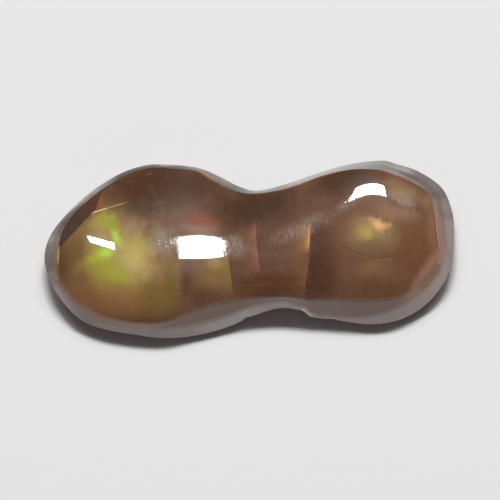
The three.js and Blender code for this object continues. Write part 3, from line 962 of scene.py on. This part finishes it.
# %% The agate's shader
GROUND_BELOW_MM = (0.02, 0.005)
SMEAR_ROUGHNESS, GROUND_ROUGHNESS = 0.24, 0.8
SCRATCH_MM = 0.0025
parts = add_node(tree, "ShaderNodeSeparateXYZ", None, {0: place}).outputs
ground = step_of(tree, parts["Z"], *GROUND_BELOW_MM)
scratch_bump = add_node(tree, "ShaderNodeBump", None, {
    "Strength": 1.0,
    "Distance": SCRATCH_MM / 1000,
    "Height": product_of(tree, grain, scratched, step_of(tree, rim_mm, 0.0, 0.4)),
})
shader = add_node(tree, "ShaderNodeBsdfPrincipled", None, {
    "Base Color": colour,
    "Roughness": step_of(tree, ground, 0, 1, SMEAR_ROUGHNESS, GROUND_ROUGHNESS),
    "IOR": 1.54,
    "Specular IOR Level": 0.035,
    "Anisotropic": 0.9,
    "Tangent": (1.0, 0.0, 0.0),
    "Coat Weight": sum_of(tree, "SUBTRACT", sum_of(tree, "SUBTRACT", 1.0, ground), dull),
    "Coat Roughness": 0.03,
    "Coat IOR": 1.5,
    "Coat Normal": scratch_bump.outputs["Normal"],
})
surface = add_node(tree, "ShaderNodeOutputMaterial")
tree.links.new(shader.outputs[0], surface.inputs["Surface"])
stone.data.materials.append(agate)
print("the agate's material has", len(tree.nodes), "nodes")

# %% [markdown]
# ## The floor
# The stone lies on a white floor, which the steep walls reflect as a pale band. The floor is wide
# enough to have no edge in any view, and a hair below the stone, so the two never share a plane.

# %% A white floor
FLOOR_DROP, FLOOR_HALF = 0.00001, 2.0
FLOOR_WHITE = (0.8, 0.8, 0.8, 1)
floor_mesh = bpy.data.meshes.new("floor")
floor_corners = [
    (FLOOR_HALF * x, FLOOR_HALF * y, -FLOOR_DROP) for x, y in ((-1, -1), (1, -1), (1, 1), (-1, 1))]
floor_mesh.from_pydata(floor_corners, [], [(0, 1, 2, 3)])
floor = bpy.data.objects.new("floor", floor_mesh)
bpy.context.scene.collection.objects.link(floor)
paper = bpy.data.materials.new("white_floor")
paper.use_nodes = True
paper_shader = paper.node_tree.nodes["Principled BSDF"]
paper_shader.inputs["Base Color"].default_value = FLOOR_WHITE
paper_shader.inputs["Roughness"].default_value = 0.9
paper_shader.inputs["Specular IOR Level"].default_value = 0.0
floor.data.materials.append(paper)
print("the floor is", 2 * FLOOR_HALF, "m wide")

# %% [markdown]
# ## The lights
# One softbox stands behind the stone, and every highlight on the crown is its reflection. A small
# bare lamp would give the same shadow with a much harder edge. Dim diffusers to the sides soften the
# shadow at both ends, and a low card in front brightens the front wall. The room stays dark, which
# keeps the crown deep in colour.

# %% Softbox, diffusers and room
LAMP_DISTANCE = 0.9


def add_lamp(name, turn, height, wide, high, power):
    """A flat rectangular light that faces the stone: turn from the back, height above the floor, both
    in degrees, then its width and height in metres and its power in watts."""
    data = bpy.data.lights.new(name, "AREA")
    data.shape, data.size, data.size_y, data.energy = "RECTANGLE", wide, high, power
    made = bpy.data.objects.new(name, data)
    bpy.context.scene.collection.objects.link(made)
    turn, height = math.radians(turn), math.radians(height)
    made.location = [LAMP_DISTANCE * part for part in (
        math.sin(turn) * math.cos(height), math.cos(turn) * math.cos(height), math.sin(height))]
    made.rotation_euler = (-(math.pi / 2 - height), 0, -turn)
    return made


# name, turn, height, width, depth, power, and whether polished faces mirror it
LAMPS = [
    ("softbox", 0.1, 58.5, 0.3044, 0.0975, 6.6, True),
    ("side_diffuser", -28.0, 54.0, 0.3, 0.2, 1.15, False),
    ("side_diffuser", 28.0, 54.0, 0.3, 0.2, 1.15, False),
    ("front_card", 180.0, 8.0, 1.6, 0.2, 0.96, False),
]
for *values, mirrored in LAMPS:
    add_lamp(*values).visible_glossy = mirrored

ROOM_LIGHT = (0.065, 0.065, 0.068, 1)
room = bpy.data.worlds.new("studio")
room.use_nodes = True
room.node_tree.nodes["Background"].inputs["Color"].default_value = ROOM_LIGHT
bpy.context.scene.world = room
bpy.context.scene.view_settings.view_transform = "Standard"

# %% [markdown]
# ## Camera
# The photo was taken from almost straight above with a long lens, so the far side is hardly smaller
# than the near side. A long lens and a large distance give the same flat perspective.

# %% Camera
# The picture is 500 pixels wide, and 18.3 of them show a millimetre of the stone.
LENS, SENSOR = 1200.0, 36.0
PIXELS_PER_MM = 18.3
FRAME_PIXELS = 500
CAMERA_HEIGHT = math.radians(77.0)
AIM = (0.0000355, -0.000186, 0.001)
distance = LENS * (FRAME_PIXELS / PIXELS_PER_MM) / SENSOR / 1000
camera_data = bpy.data.cameras.new("camera")
camera_data.lens, camera_data.sensor_width = LENS, SENSOR
camera_data.clip_start, camera_data.clip_end = 0.01, 10
camera = bpy.data.objects.new("camera", camera_data)
bpy.context.scene.collection.objects.link(camera)
back, up = distance * math.cos(CAMERA_HEIGHT), distance * math.sin(CAMERA_HEIGHT)
camera.location = (AIM[0], AIM[1] - back, AIM[2] + up)
camera.rotation_euler = (math.pi / 2 - CAMERA_HEIGHT, 0, 0)
bpy.context.scene.camera = camera
print("the camera is", round(distance * 1000), "mm away")
